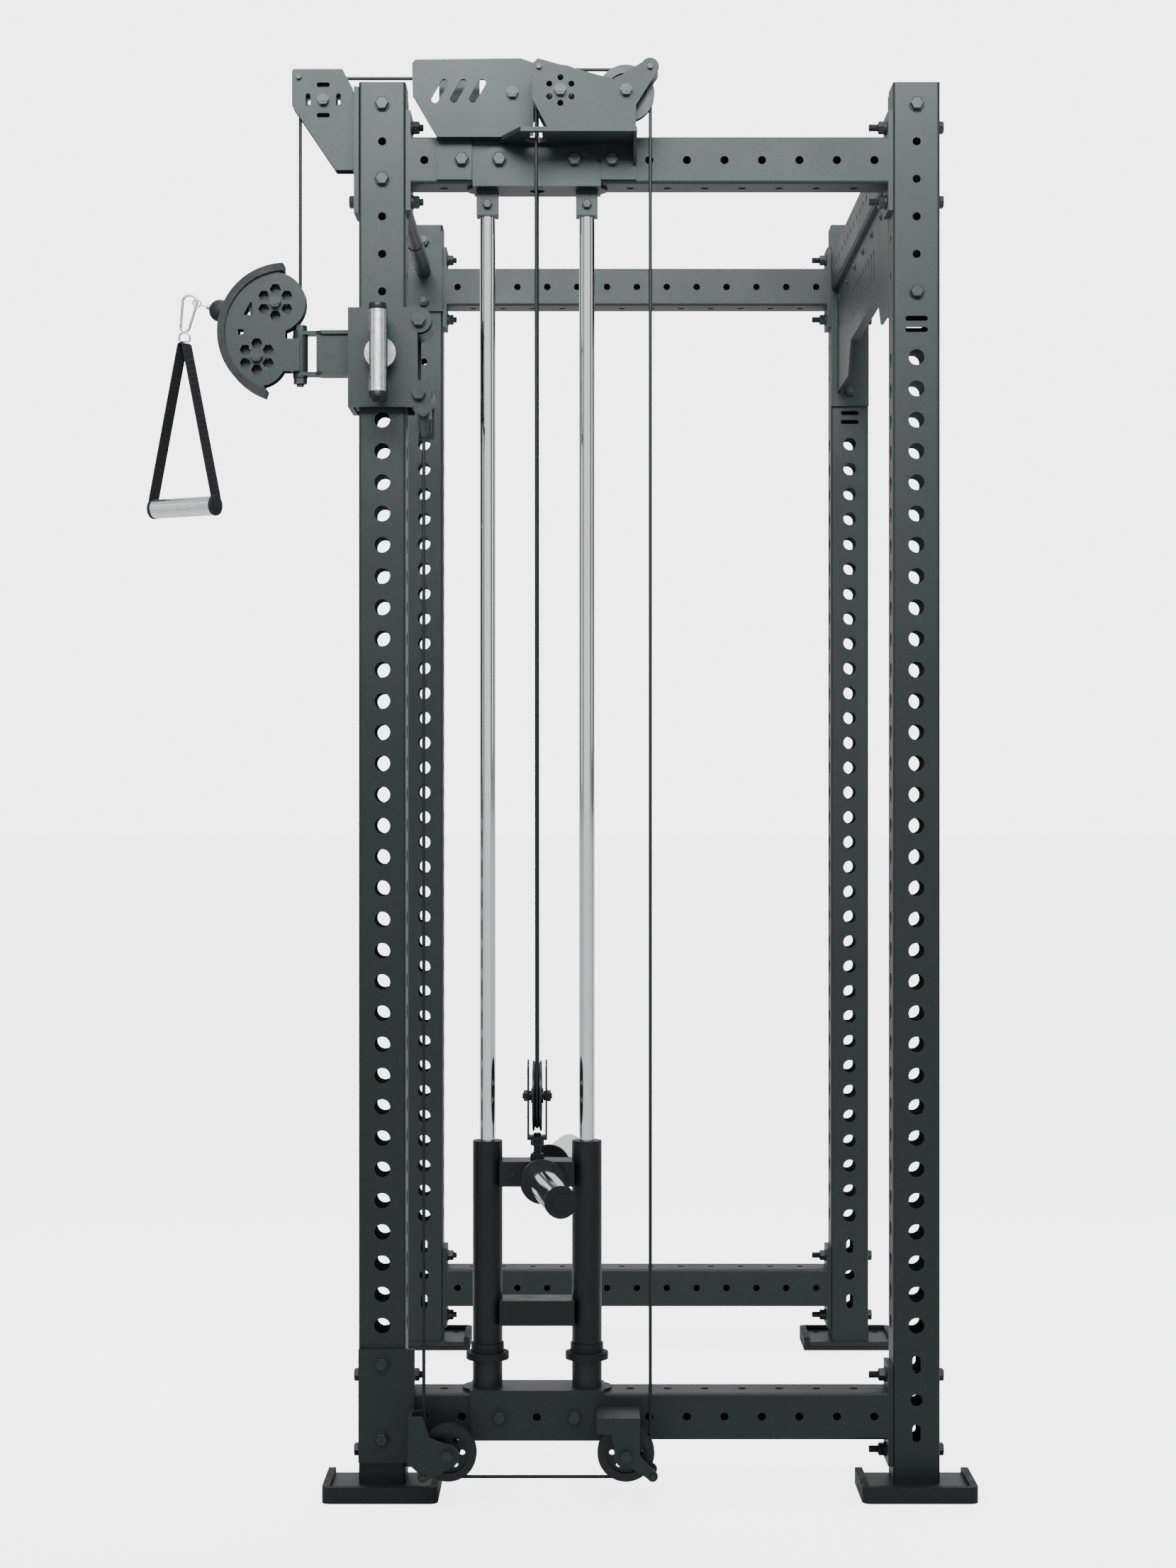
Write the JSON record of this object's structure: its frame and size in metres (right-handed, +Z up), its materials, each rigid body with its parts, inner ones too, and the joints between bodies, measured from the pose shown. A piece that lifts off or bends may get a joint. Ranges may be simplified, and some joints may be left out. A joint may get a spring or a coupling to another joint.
{
  "type": "power cage",
  "caption": "Power cage of perforated square tube with a pull-up bar and a plate-loaded pulley column whose height-adjustable swivel head carries a cable handle.",
  "frame": {"origin": "centre of the overall bounding box, on the floor", "axes": "+Z up; -X is the front, where the pull-up bar and the handle are; -Y is the side with the pulley column"},
  "size_m": [1.3329, 1.5615, 2.291],
  "materials": {
    "powder": "fine-textured matte powder coat",
    "plate_powder": "fine-textured matte powder coat on laser-cut plate",
    "satin_black": "satin black paint",
    "black_oxide": "black-oxide steel fasteners",
    "rubber": "moulded matte black rubber",
    "nylon": "matte black nylon",
    "pulley_nylon": "turned black nylon",
    "cable": "black nylon-coated steel cable",
    "knurl_black": "knurled black steel",
    "chrome": "polished hard chrome",
    "zinc": "bright zinc plate",
    "aluminium": "knurled bright aluminium",
    "webbing": "woven black nylon webbing"
  },
  "bodies": {
    "frame": {"uprights_near": "powder", "uprights_far": "powder", "foot_plates": "plate_powder", "foot_bumpers": "rubber", "beams_top": "powder", "beams_low": "powder", "beam_bolts": "black_oxide", "pullup_bar": "powder", "pullup_grips": "knurl_black", "rear_crossmember": "powder", "rear_panel": "plate_powder", "cross_bolts": "black_oxide", "rod_bracket_top": "plate_powder", "rod_bracket_low": "plate_powder", "guide_rods": "chrome", "rubber_stops": "rubber", "column_bolts": "black_oxide", "pulley_housing": "plate_powder", "corner_pulley_bracket": "plate_powder", "low_bracket_front": "plate_powder", "low_bracket_mid": "plate_powder", "pulley_axles": "black_oxide", "cable_fixed": "cable", "strand_near": "cable", "strand_far": "cable", "strand_trolley": "cable", "strand_swivel": "cable"},
    "carriage": {"carriage_sleeves": "satin_black", "carriage_bushes": "nylon", "carriage_bars": "satin_black", "horn_discs": "satin_black", "weight_horns": "chrome", "horn_caps": "rubber", "float_bracket": "satin_black", "cable_float": "cable"},
    "float_pulley": {"float_pulley": "pulley_nylon"},
    "trolley": {"trolley_body": "plate_powder", "trolley_pads": "nylon", "trolley_bolts": "black_oxide"},
    "roller_upper": {"roller_upper": "nylon"},
    "roller_lower": {"roller_lower": "nylon"},
    "lock_pin": {"lock_pin": "zinc", "lock_grip": "aluminium"},
    "swivel_head": {"head_plates": "plate_powder", "head_guard": "rubber", "head_bolts": "black_oxide", "cable_head": "cable"},
    "head_pulley_upper": {"head_pulley_upper": "pulley_nylon"},
    "head_pulley_lower": {"head_pulley_lower": "pulley_nylon"},
    "cord": {"handle_cord": "rubber"},
    "handle": {"carabiner": "zinc", "handle_strap": "webbing", "handle_grip": "aluminium", "grip_ends": "rubber"},
    "pulley_1": {"pulley_1": "pulley_nylon"},
    "pulley_2": {"pulley_2": "pulley_nylon"},
    "pulley_3": {"pulley_3": "pulley_nylon"},
    "pulley_4": {"pulley_4": "pulley_nylon"},
    "pulley_5": {"pulley_5": "pulley_nylon"},
    "pulley_6": {"pulley_6": "pulley_nylon"}
  },
  "joints": [
    {"name": "carriage_lift", "type": "slide", "parent": "frame", "child": "carriage", "axis": [0, 0, 1], "range_m": [0, 1.2], "deforming": ["strand_near", "strand_far"]},
    {"name": "trolley_slide", "type": "slide", "parent": "frame", "child": "trolley", "axis": [0, 0, 1], "range_m": [-1.45, 0], "deforming": ["strand_trolley", "strand_swivel"]},
    {"name": "lock_pin_slide", "type": "slide", "parent": "trolley", "child": "lock_pin", "axis": [0, 1, 0], "range_m": [0, 0.024]},
    {"name": "head_swivel", "type": "hinge", "parent": "trolley", "child": "swivel_head", "pos_m": [-0.41528, -0.48595, 1.83], "axis": [0, 0, 1], "range_deg": [-85, 85]},
    {"name": "handle_pull", "type": "slide", "parent": "swivel_head", "child": "cord", "axis": [-0.9511, 0, 0.309], "range_m": [0, 2.4]},
    {"name": "handle_swing", "type": "hinge", "parent": "cord", "child": "handle", "pos_m": [-0.58218, -0.48595, 1.91224], "axis": [0, 1, 0], "range_deg": [-5, 55]},
    {"name": "spin_float", "type": "hinge", "parent": "carriage", "child": "float_pulley", "pos_m": [-0.03328, -0.48595, 0.6345], "axis": [1, 0, 0], "continuous": true},
    {"name": "spin_1", "type": "hinge", "parent": "frame", "child": "pulley_1", "pos_m": [0.00522, -0.59095, 2.224], "axis": [0, 1, 0], "continuous": true},
    {"name": "spin_2", "type": "hinge", "parent": "frame", "child": "pulley_2", "pos_m": [0.10822, -0.59095, 2.224], "axis": [0, 1, 0], "continuous": true},
    {"name": "spin_3", "type": "hinge", "parent": "frame", "child": "pulley_3", "pos_m": [-0.07178, -0.48595, 2.236], "axis": [0, 1, 0], "continuous": true},
    {"name": "spin_4", "type": "hinge", "parent": "frame", "child": "pulley_4", "pos_m": [-0.37678, -0.48595, 2.236], "axis": [0, 1, 0], "continuous": true},
    {"name": "spin_5", "type": "hinge", "parent": "frame", "child": "pulley_5", "pos_m": [0.10822, -0.59095, 0.084], "axis": [0, 1, 0], "continuous": true},
    {"name": "spin_6", "type": "hinge", "parent": "frame", "child": "pulley_6", "pos_m": [-0.17178, -0.59095, 0.084], "axis": [0, 1, 0], "continuous": true},
    {"name": "spin_head_upper", "type": "hinge", "parent": "swivel_head", "child": "head_pulley_upper", "pos_m": [-0.45378, -0.48595, 1.911], "axis": [0, 1, 0], "continuous": true},
    {"name": "spin_head_lower", "type": "hinge", "parent": "swivel_head", "child": "head_pulley_lower", "pos_m": [-0.48378, -0.48595, 1.824], "axis": [0, 1, 0], "continuous": true},
    {"name": "spin_roller_upper", "type": "hinge", "parent": "trolley", "child": "roller_upper", "pos_m": [-0.22128, -0.48595, 1.877], "axis": [0, 1, 0], "continuous": true},
    {"name": "spin_roller_lower", "type": "hinge", "parent": "trolley", "child": "roller_lower", "pos_m": [-0.22128, -0.48595, 1.76], "axis": [0, 1, 0], "continuous": true}
  ],
  "couplings": [
    {"joint": "handle_pull", "follows": "carriage_lift", "ratio": 2},
    {"joint": "spin_float", "follows": "carriage_lift", "rad_per_m": 20},
    {"joint": "spin_3", "follows": "carriage_lift", "rad_per_m": -51.948},
    {"joint": "spin_4", "follows": "carriage_lift", "rad_per_m": -51.948},
    {"joint": "spin_head_upper", "follows": "carriage_lift", "rad_per_m": 51.948},
    {"joint": "spin_1", "follows": "trolley_slide", "rad_per_m": 25.974},
    {"joint": "spin_2", "follows": "trolley_slide", "rad_per_m": 25.974},
    {"joint": "spin_5", "follows": "trolley_slide", "rad_per_m": 25.974},
    {"joint": "spin_6", "follows": "trolley_slide", "rad_per_m": 25.974},
    {"joint": "spin_roller_upper", "follows": "trolley_slide", "rad_per_m": -46.083},
    {"joint": "spin_roller_lower", "follows": "trolley_slide", "rad_per_m": -46.083}
  ]
}
